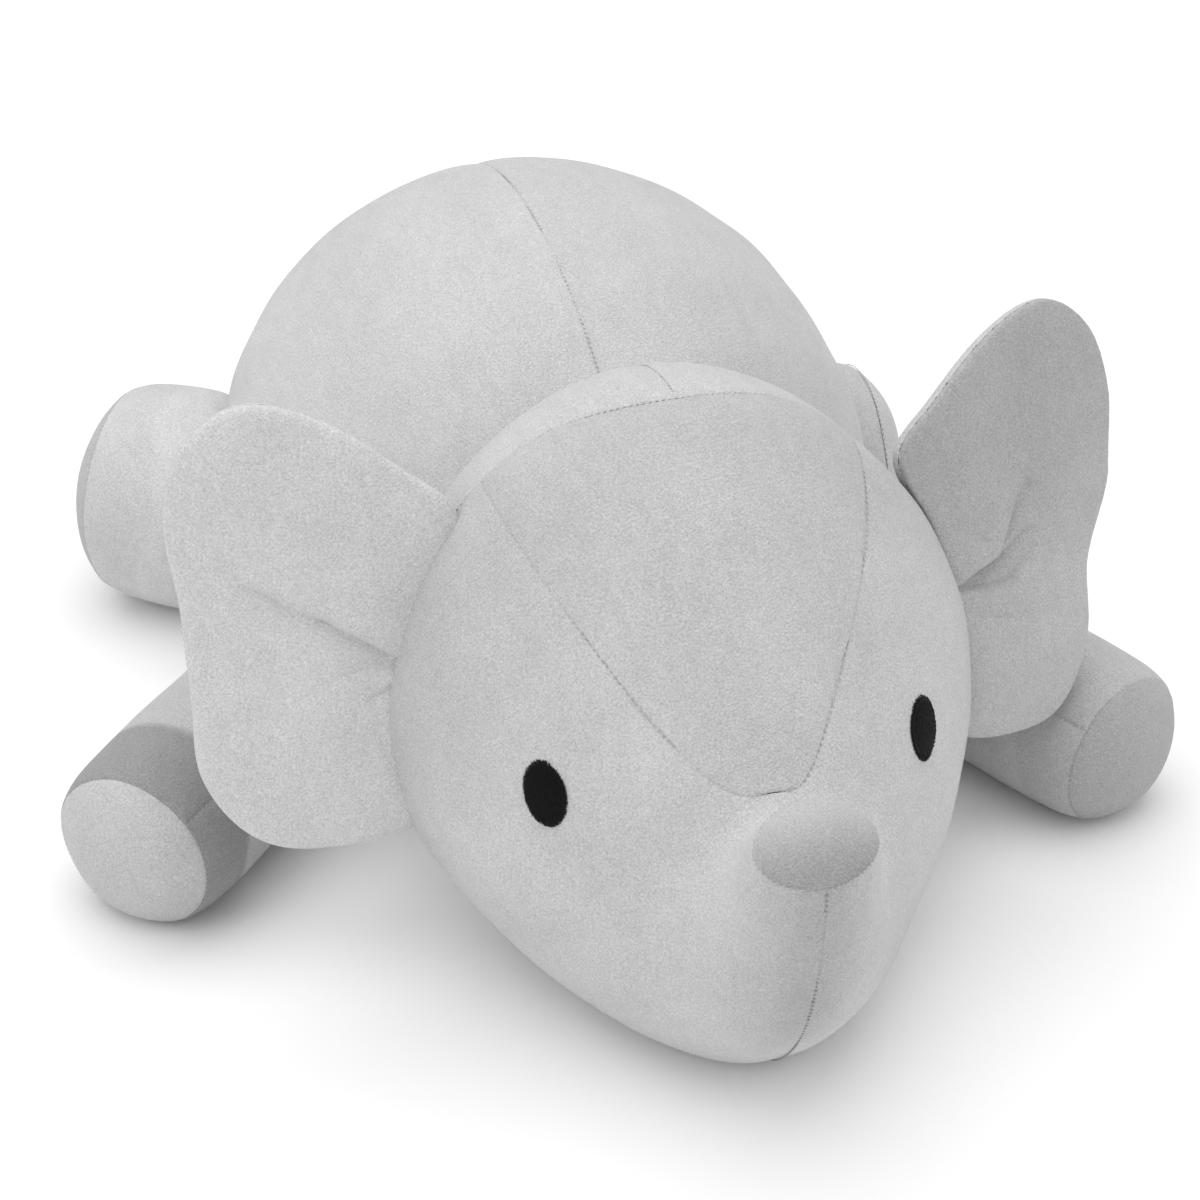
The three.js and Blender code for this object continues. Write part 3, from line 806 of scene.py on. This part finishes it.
def cheek_limits(side):
    def limits(u):
        upper = QUARTER - gusset_angle(u)
        if side > 0:
            return np.full(len(u), -QUARTER), upper
        return math.pi - upper, np.full(len(u), 3 * QUARTER)
    return limits


def gusset_limits(u):
    return QUARTER - gusset_angle(u), QUARTER + gusset_angle(u)


def back_limits(side):
    def limits(u):
        start = -QUARTER if side > 0 else QUARTER
        return np.full(len(u), start), np.full(len(u), start + math.pi)
    return limits


def head_seams(along):
    """The head's seams, except those of the back of the head; the last runs down the trunk's front."""
    ring = TURN * along
    face = SEAM_U + (TIP_U - SEAM_U) * along
    crown = SEAM_U + (APEX_U - SEAM_U) * along
    return [
        seam_on(head_surface, SEAM_U, ring),
        seam_on(head_surface, crown, QUARTER - gusset_angle(crown)),
        seam_on(head_surface, crown, QUARTER + gusset_angle(crown)),
        seam_on(head_surface, TIP_U, ring),
        seam_on(head_surface, face, -QUARTER),
    ]


def make_head():
    along = np.linspace(0, 1, SEAM_POINTS["head"])
    back = NECK_U + (SEAM_U - NECK_U) * along
    face_seams = head_seams(along)
    back_seams = [seam_on(head_surface, back, QUARTER), seam_on(head_surface, back, -QUARTER)]
    all_seams = face_seams + back_seams
    pull = PULL["head"]
    depth = pull * STITCH_DEPTH

    face_count, cheek_columns = CHEEK_GRID
    face_rows = SEAM_U + (TIP_U - SEAM_U) * bunched(face_count, HEAD_BUNCH)
    back_count, back_columns = BACK_OF_HEAD_GRID
    back_rows = NECK_U + (SEAM_U - NECK_U) * bunched(back_count, HEAD_BUNCH)
    for side, name in ((1, "left"), (-1, "right")):
        cheek = panel_piece(f"cheek_cover_{name}", head_surface, face_rows, cheek_limits(side),
                            cheek_columns, all_seams, pull, head_nap_and_shade)
        finish_piece(cheek, "head", [f"cheek_{name}"])
        back_piece = panel_piece(f"back_of_head_cover_{name}", head_surface, back_rows, back_limits(side),
                                 back_columns, all_seams, pull, even_nap(HEAD_NAP_AND_SHADE["back"]), drawn_to_torso)
        finish_piece(back_piece, None, [f"back_of_head_{name}"])
        blend_neck(back_piece)

    crown_count, gusset_columns = GUSSET_GRID
    crown_rows = SEAM_U + (APEX_U - SEAM_U) * bunched(crown_count, HEAD_BUNCH)
    gusset = panel_piece("crown_gusset_cover", head_surface, crown_rows, gusset_limits,
                         gusset_columns, all_seams, pull, head_nap_and_shade)
    finish_piece(gusset, "head", ["crown_gusset", "head_filling"])

    tip_count, tip_columns = TIP_GRID
    tip_rows = TIP_U + (1 - TIP_U) * np.linspace(0, 1, tip_count + 1) ** TIP_BUNCH
    tip = panel_piece("trunk_tip_cover", head_surface, tip_rows, between(level(0.0), level(TURN)),
                      tip_columns, face_seams, pull, tip_nap_and_shade)
    finish_piece(tip, "head", ["trunk_tip"])

    beads = make_piece("head_stitching", *stitch_beads(face_seams[:-1], depth), SEAM_THREAD)
    finish_piece(beads, "head")
    coarse = stitch_beads(face_seams[-1:], depth - TRUNK_STITCH_RISE, radius=0.36, length=1.0, slant=0.9)
    finish_piece(make_piece("trunk_stitching", *coarse, TRUNK_THREAD), "head")
    beads = make_piece("back_of_head_stitching", *stitch_beads(back_seams[:1], depth), SEAM_THREAD)
    finish_piece(beads, None)
    blend_neck(beads)


def head_nap_and_shade(points):
    """Darker on the face by the crown seam, and painted shade down the middle of the trunk's front, where
    it faces down.
    """
    crown = smooth_step(*CROWN_SHADE, points[:, 1])
    middle = np.exp(-((points[:, 0] - HEAD["lean"]) / TRUNK_SHADE_WIDTH) ** 2)
    front = smooth_step(*TRUNK_SHADE, points[:, 1]) * middle
    shade = HEAD_NAP_AND_SHADE["trunk_front_shade"] * front + HEAD_NAP_AND_SHADE["crown"] * crown
    mottle = HEAD_MOTTLE["amount"] * ripple(points, HEAD_MOTTLE["wave"], HEAD_MOTTLE["seed"])
    return HEAD_NAP_AND_SHADE["face"] - shade + mottle


def tip_nap_and_shade(points):
    # Painted shade towards the front of the trunk's end, where it faces down.
    return HEAD_NAP_AND_SHADE["tip"] - HEAD_NAP_AND_SHADE["tip_front_shade"] * smooth_step(*TIP_SHADE, points[:, 1])


def blend_neck(piece):
    """Bakes the piece's transform into its mesh."""
    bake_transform(piece)


make_head()


# ---------- eyes ----------

# Satin stitch: threads side by side across a low pad, and a border of short threads over their ends
EYE_PAD = {"rings": 8, "sides": 64, "sink": 0.25}
EYE_SATIN = {
    "slant": math.radians(38), "pitch": 0.46, "stitch": 3.4, "share": 0.93, "rise": 0.32, "radius": 0.2,
}
EYE_BORDER = {
    "count": 170, "outer": 1.0, "inner": 0.82, "lean": 0.14, "base": 0.1, "rise": 0.95, "radius": 0.21,
}
SATIN_POINTS = 110
SATIN_UNEVEN = (-0.05, 0.1)
LEAST_POINTS = 6  # a shorter satin thread is left out
BORDER_POINTS = 8
BORDER_ARC = (0.03, 0.85)  # the part of a half turn that a border thread bends through
BORDER_UNEVEN = {"angle": 0.012, "outer": (-0.02, 0.05), "inner": (-0.06, 0.03), "height": 0.12}
EYE_SEED = 11


def eye_place(side):
    """A function for points of an eye: x and y across it, height above the head's curve."""
    step = 1e-3
    at_u = EYE["u"]
    at_v = EYE["v"] if side > 0 else math.pi - EYE["v"]
    along_u = head_surface(at_u + step, at_v) - head_surface(at_u - step, at_v)
    along_v = head_surface(at_u, at_v + step) - head_surface(at_u, at_v - step)
    per_u = np.linalg.norm(along_u) / (2 * step)
    per_v = np.linalg.norm(along_v) / (2 * step)

    def on_eye(x, y, height):
        u = at_u + x / per_u
        v = at_v + y / per_v
        return head_surface(u, v) + outward(head_surface, u, v) * np.asarray(height)[..., None]

    return on_eye


def eye_dome(share):
    """The pad's height, from its middle at share 0 to its edge at share 1."""
    return EYE["proud"] * np.sqrt(np.maximum(1 - share ** 2, 0)) ** EYE["fullness"]


def eye_pad(on_eye):
    around = np.linspace(0, TURN, EYE_PAD["sides"] + 1)
    shares = np.linspace(1, 0, EYE_PAD["rings"] + 1)
    x = np.outer(shares, np.cos(around)) * EYE["half_width"]
    y = np.outer(shares, np.sin(around)) * EYE["half_height"]
    height = np.broadcast_to(eye_dome(shares)[:, None] - EYE_PAD["sink"], x.shape)
    return on_eye(x, y, height).reshape(-1, 3), grid_faces(EYE_PAD["rings"], EYE_PAD["sides"])


def satin_threads(on_eye, chance):
    slant = EYE_SATIN["slant"]
    reach = max(EYE["half_width"], EYE["half_height"])
    threads = []
    for offset in np.arange(-reach, reach, EYE_SATIN["pitch"]):
        line = np.linspace(-reach, reach, SATIN_POINTS)
        x = line * math.cos(slant) - offset * math.sin(slant)
        y = line * math.sin(slant) + offset * math.cos(slant)
        share = np.hypot(x / EYE["half_width"], y / EYE["half_height"])
        keep = share < EYE_SATIN["share"]
        if keep.sum() < LEAST_POINTS:
            continue
        wave = line[keep] * math.pi / EYE_SATIN["stitch"] + chance.uniform(0, TURN)
        bridge = EYE_SATIN["rise"] * np.abs(np.sin(wave)) ** 0.5
        height = eye_dome(share[keep]) + bridge + chance.uniform(*SATIN_UNEVEN)
        threads.append(strand(on_eye(x[keep], y[keep], height), EYE_SATIN["radius"]))
    return threads


def border_threads(on_eye, chance):
    threads = []
    uneven = BORDER_UNEVEN
    for i in range(EYE_BORDER["count"]):
        angle = TURN * i / EYE_BORDER["count"] + chance.uniform(-uneven["angle"], uneven["angle"])
        outer = EYE_BORDER["outer"] + chance.uniform(*uneven["outer"])
        inner = EYE_BORDER["inner"] + chance.uniform(*uneven["inner"])
        shares = np.linspace(outer, inner, BORDER_POINTS)
        tilt = angle + EYE_BORDER["lean"] * (outer - shares) / (outer - inner)
        x = shares * np.cos(tilt) * EYE["half_width"]
        y = shares * np.sin(tilt) * EYE["half_height"]
        arc = np.sin(np.linspace(*BORDER_ARC, BORDER_POINTS) * math.pi) ** EYE["fullness"]
        lift = chance.uniform(-uneven["height"], uneven["height"])
        height = EYE_BORDER["base"] + EYE_BORDER["rise"] * arc + lift
        threads.append(strand(on_eye(x, y, height), EYE_BORDER["radius"]))
    return threads


def make_eye(side, name):
    on_eye = eye_place(side)
    chance = np.random.default_rng(EYE_SEED)
    parts = [eye_pad(on_eye)] + satin_threads(on_eye, chance) + border_threads(on_eye, chance)
    piece = make_piece(f"embroidered_eye_{name}", *join_parts(parts), EYE_THREAD)
    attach(piece, "head")
    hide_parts(f"eye_{name}")


THREAD_END = 0.05  # how thin a thread's ends are, as a share of its radius


def strand(path, radius, sides=5):
    """A closed thin tube along a path."""
    path = np.asarray(path, float)
    ahead = np.gradient(path, axis=0)
    ahead /= np.maximum(np.linalg.norm(ahead, axis=1, keepdims=True), 1e-9)
    helper = np.array([0.0, 0.0, 1.0]) if abs(ahead[:, 2]).max() < 0.9 else np.array([1.0, 0, 0])
    side = np.cross(ahead, helper)
    side /= np.linalg.norm(side, axis=1, keepdims=True)
    up = np.cross(side, ahead)
    angles = np.linspace(0, TURN, sides + 1)
    taper = np.ones(len(path))
    taper[[0, -1]] = THREAD_END
    ring = side[:, None] * np.cos(angles)[None, :, None] + up[:, None] * np.sin(angles)[None, :, None]
    points = path[:, None] + ring * (radius * taper)[:, None, None]
    return points.reshape(-1, 3), grid_faces(len(path) - 1, sides)


make_eye(1, "left")
make_eye(-1, "right")


# ---------- ears ----------

# Folds that run out from an ear's root, as lines in the ear's own plane. above and below are how
# far each side takes to rise again, ridge is how high the cloth stands beside the steeper side.
EAR_CREASES = {
    "right": [
        {"line": [(-6, -2), (16, 7), (27, 12), (49, 21), (67, 28), (84, 34)],
         "drop": 6.5, "above": 1.5, "below": 13, "ridge": 2.4},
        {"line": [(-6, 6), (19, 3), (34, -2), (49, -8)],
         "drop": 2.2, "above": 6, "below": 4, "ridge": 0.6},
        {"line": [(-4, 0), (16, -7), (26, -13)],
         "drop": 3.2, "above": 1.3, "below": 4, "ridge": 0.8},
    ],
    "left": [
        {"line": [(-6, 0), (9, 1), (22, 4), (33, 7), (39, 14), (45, 22), (51, 30), (57, 37)],
         "drop": 8.0, "above": 1.8, "below": 10, "ridge": 3.0},
        {"line": [(20, 3), (36, 6), (48, 12), (56, 13)],
         "drop": 3.4, "above": 1.6, "below": 5, "ridge": 1.6},
        {"line": [(-6, 2), (9, 1), (33, -6), (41, -3), (49, 1), (55, 5)],
         "drop": 4.0, "above": 7, "below": 1.8, "ridge": 1.8},
        {"line": [(-6, -8), (11, -13), (44, -28), (60, -31)],
         "drop": 2.0, "above": 6, "below": 5, "ridge": 0.5},
    ],
}
RIDGE_REACH = 4.0
EAR_PUFF = {"left": 13.5, "right": 11.5}  # how far the filling lifts each face in the middle
EAR_EDGE = 0.12
EAR_LEAST = EAR_EDGE * 0.3  # a fold sinks no nearer to the ear's plane than this
EAR_SHOULDER = {"left": 2.8, "right": 4.5}  # a higher number keeps an ear thick nearer its edge
EAR_RIM_PULL = 0.02  # how far the rim's stitches draw the edge in, as a share of the ear's reach
EAR_SAG = {"left": 3, "right": 0}
EAR_TUCK = {"left": 0.15, "right": 0.0}  # how much narrower the lower lobe hangs
EAR_SEAM_SHIFT = {"left": 8, "right": 5}  # how far forward the rim's seam lies along the upper edge
EAR_SHIFT_SPAN = (-70, 30)
EAR_SHIFT_FADE = 5
EAR_BACK_FULLNESS = {"left": 1.3, "right": 1.0}
EAR_BACK_FOLDS = 0.5  # how much of the folds shows on the back
EAR_LUMP = {"wave": 45, "seed": 31, "apart": 40}
# Small pleats where an ear is sewn to the head
GATHER = {"height": 0.55, "reach": 11, "spread": 38, "wave": 10.5, "flare": 60}


def ear_axes(side):
    """The middle of an ear's root, and the directions out, up and back from it."""
    top = np.array([side * EAR_ROOT_TOP[0], *EAR_ROOT_TOP[1:]], float)
    bottom = np.array([side * EAR_ROOT_BOTTOM[0], *EAR_ROOT_BOTTOM[1:]], float)
    up = (top - bottom) / np.linalg.norm(top - bottom)
    out = np.array([side, 0, 0]) - up * (up[0] * side)
    out /= np.linalg.norm(out)
    back = np.cross(up, out) * side
    return (top + bottom) / 2, out, up, back


def fold_depth(x, y, fold):
    """How far one fold sinks at each point of the ear's plane."""
    line = catmull_rom([(px, py, 0) for px, py in fold["line"]], np.linspace(0, 1, 40))[:, :2]
    lengths = np.linalg.norm(np.diff(line, axis=0), axis=1)
    reached = np.concatenate([[0], np.cumsum(lengths)])
    nearest = np.full(x.shape, np.inf)
    beside = np.zeros(x.shape)
    along = np.zeros(x.shape)
    for start, end, length, before in zip(line[:-1], line[1:], lengths, reached):
        ahead = (end - start) / length
        to_x = x - start[0]
        to_y = y - start[1]
        passed = np.clip(to_x * ahead[0] + to_y * ahead[1], 0, length)
        gap = np.hypot(to_x - passed * ahead[0], to_y - passed * ahead[1])
        closer = gap < nearest
        nearest = np.where(closer, gap, nearest)
        beside = np.where(closer, to_y * ahead[0] - to_x * ahead[1], beside)
        along = np.where(closer, before + passed, along)
    above = beside > 0
    fade = np.maximum(1 - along / reached[-1], 0) ** 0.5
    sink = np.exp(-nearest / np.where(above, fold["above"], fold["below"]))
    steeper = above if fold["above"] < fold["below"] else ~above
    stand = np.where(steeper, nearest / RIDGE_REACH * np.exp(1 - nearest / RIDGE_REACH), 0)
    return fade * (fold["drop"] * sink - fold["ridge"] * stand)


def gathers(x, y):
    """Pleats that fan out from the ear's root and soon fade."""
    outwards = np.maximum(x, 0)
    fan = y / (1 + outwards / GATHER["flare"]) * TURN / GATHER["wave"]
    pleats = np.sin(fan) + 0.7 * np.sin(fan / 0.43 + 1.1)
    fade = np.exp(-outwards / GATHER["reach"] - (y / GATHER["spread"]) ** 2)
    return GATHER["height"] * pleats * fade


def ear_grid(name):
    """Points of an ear's plane, ring by ring from the rim inwards, and how far out each ring is."""
    ring_count, rim_count = EAR_GRID
    knots = [(x, y, 0) for x, y in EAR_OUTLINE]
    outline = catmull_rom(knots, np.linspace(0, 1, rim_count + 1), closed=True)
    outline[:, 0] *= 1 - EAR_TUCK[name] * smooth_step(*EAR_TUCK_SPAN, outline[:, 1])
    share = np.sin(QUARTER * (1 - np.linspace(0, 1, ring_count + 1) ** EAR_BUNCH))[:, None]
    drawn = share * (1 - EAR_RIM_PULL * np.exp(-(1 - share) / EAR_RIM_PULL))
    x = EAR_CENTRE[0] + (outline[None, :, 0] - EAR_CENTRE[0]) * drawn
    y = EAR_CENTRE[1] + (outline[None, :, 1] - EAR_CENTRE[1]) * drawn
    return x, y, share


def ear_faces(name, y):
    """What differs between an ear's front and back; way is -1 towards the front."""
    tone = EAR_NAP_AND_PAINTED_LIGHT[name]
    return {
        "front": {
            "way": -1, "fullness": 1.0, "folds": 1.0, "nodes": [f"ear_front_{name}"],
            # the front's painted light, darker towards its top as painted shade
            "nap_and_painted_light": tone["front"] - tone["top"] * smooth_step(*EAR_SHADE, y),
        },
        "back": {
            "way": 1, "fullness": EAR_BACK_FULLNESS[name], "folds": EAR_BACK_FOLDS,
            "nodes": [f"ear_back_{name}", f"ear_filling_{name}"], "nap_and_painted_light": np.full(y.shape, tone["back"]),
        },
    }


def make_ear(side, name):
    pivot, out, up, back = ear_axes(side)
    sweep = EAR_SWEEP[name]
    spread = out * math.cos(sweep) + back * math.sin(sweep)
    facing = back * math.cos(sweep) - out * math.sin(sweep)
    x, y, share = ear_grid(name)

    def place(x, y, height):
        lie = EAR_CUP * (x / EAR_WIDTH) ** 2 + height
        return pivot + x[..., None] * spread + (y - EAR_SAG[name])[..., None] * up + lie[..., None] * facing

    shift = -EAR_SEAM_SHIFT[name] * share ** EAR_SHIFT_FADE * smooth_step(*EAR_SHIFT_SPAN, y)
    rim = place(x[0], y[0], shift[0])
    middle = place(np.array([EAR_CENTRE[0]]), np.array([EAR_CENTRE[1]]), np.zeros(1))
    line = resample(rim, SEAM_STEP)
    outwards = line - middle
    outwards /= np.linalg.norm(outwards, axis=1, keepdims=True)
    seam = {"line": line, "facing": outwards}
    round_off = np.sqrt(np.maximum(1 - share ** EAR_SHOULDER[name], 0))
    thickness = EAR_EDGE + EAR_PUFF[name] * round_off * np.ones_like(x)
    near_rim = np.minimum(thickness / EAR_PUFF[name], 1)
    folds = sum(fold_depth(x, y, fold) for fold in EAR_CREASES[name]) + gathers(x, y)
    for face_name, face in ear_faces(name, y).items():
        way = face["way"]
        lump_at = np.stack([x, y, np.full(x.shape, EAR_LUMP["apart"] * way)], axis=-1)
        lump = LUMP_HEIGHT * ripple(lump_at, EAR_LUMP["wave"], EAR_LUMP["seed"] + way)
        full = thickness * face["fullness"]
        distance, along = seam_reach(place(x, y, way * full + shift).reshape(-1, 3), [seam])
        pucker = PUCKER * np.exp(-distance / PUCKER_REACH) * pucker_wave(along)
        height = full + (lump - face["folds"] * folds) * near_rim - pucker.reshape(x.shape)
        points = place(x, y, way * np.maximum(height, EAR_LEAST) + shift).reshape(-1, 3)
        points[:, 2] = np.maximum(points[:, 2], EAR_FLOOR_GAP)
        grid = grid_faces(*EAR_GRID)
        if way * side > 0:
            grid = grid[:, ::-1]
        piece = make_piece(f"ear_{face_name}_cover_{name}", points, grid, VELVET, face["nap_and_painted_light"])
        finish_piece(piece, None, face["nodes"])
        blend_ear(piece)
    beads = stitch_beads([seam], EAR_STITCH_DEPTH, slant=0.3)
    piece = make_piece(f"ear_stitching_{name}", *beads, SEAM_THREAD)
    finish_piece(piece, None)
    blend_ear(piece)


def blend_ear(piece):
    """Bakes the piece's transform into its mesh."""
    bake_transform(piece)


for ear_side, ear_name in ((1, "left"), (-1, "right")):
    make_ear(ear_side, ear_name)


# ---------- legs ----------

def sleeve_nap_and_shadow(name, leg):
    """Darker near the sole: a painted shadow, deepest where the ears and head shade the front legs."""
    heading = math.radians(leg["heading"])
    ahead = np.array([math.sin(heading), -math.cos(heading), 0])
    start = np.array([*leg["root"], 0])

    def nap_and_painted_light(points):
        reach = (points - start) @ ahead
        sway = LEG_SHADE["sway"] * np.sin(points[:, 2] / LEG_SHADE["wave"])
        beyond = reach - (leg["length"] - LEG_SHADE["length"] + sway)
        darker = smooth_step(-LEG_SHADE["edge"], LEG_SHADE["edge"], beyond)
        return LEG_NAP_AND_SHADOW[name]["sleeve"] - LEG_NAP_AND_SHADOW[name]["end"] * darker

    return nap_and_painted_light


def make_leg(name, leg):
    surface = leg_surface(leg)
    along = np.linspace(0, 1, SEAM_POINTS["leg"])
    seam_angle = math.radians(leg["seam"])
    seams = [
        seam_on(surface, SOLE_U, TURN * along + seam_angle),
        seam_on(surface, SLEEVE_U + (SOLE_U - SLEEVE_U) * along, seam_angle),
    ]
    pull = PULL["leg"]
    all_round = between(level(seam_angle), level(seam_angle + TURN))

    sleeve_count, sleeve_columns = SLEEVE_GRID
    rows = SLEEVE_U + (SOLE_U - SLEEVE_U) * bunched(sleeve_count, SLEEVE_BUNCH)
    sleeve = panel_piece(f"{name}_sleeve_cover", surface, rows, all_round, sleeve_columns,
                         seams, pull, sleeve_nap_and_shadow(name, leg), drawn_to_torso)
    finish_piece(sleeve, f"{name}_leg", [f"{name}_sleeve", f"{name}_filling"])

    sole_count, sole_columns = SOLE_GRID
    sole_rows = SOLE_U + (1 - SOLE_U) * np.linspace(0, 1, sole_count + 1) ** SOLE_BUNCH
    sole = panel_piece(f"{name}_sole_cover", surface, sole_rows, all_round, sole_columns,
                       seams[:1], pull, even_nap(LEG_NAP_AND_SHADOW[name]["sole"]))
    finish_piece(sole, f"{name}_leg", [f"{name}_sole"])

    beads = make_piece(f"{name}_stitching", *stitch_beads(seams, pull * STITCH_DEPTH), SEAM_THREAD)
    finish_piece(beads, f"{name}_leg")


for leg_name, leg_size in LEGS.items():
    make_leg(leg_name, leg_size)


# ---------- tail ----------

def make_tail():
    along = np.linspace(TAIL_POLE_GAP, 1 - TAIL_POLE_GAP, SEAM_POINTS["tail"])
    seams = [seam_on(tail_surface, along, -QUARTER)]
    count, columns = TAIL_GRID
    rows = np.linspace(0, 1, count + 1)
    tail = panel_piece("tail_cover", tail_surface, rows, between(level(-QUARTER), level(-QUARTER + TURN)),
                       columns, seams, PULL["tail"], even_nap(TAIL_NAP))
    finish_piece(tail, "tail", ["tail"])
    beads = make_piece("tail_stitching", *stitch_beads(seams, TAIL_STITCH_DEPTH), SEAM_THREAD)
    finish_piece(beads, "tail")


make_tail()
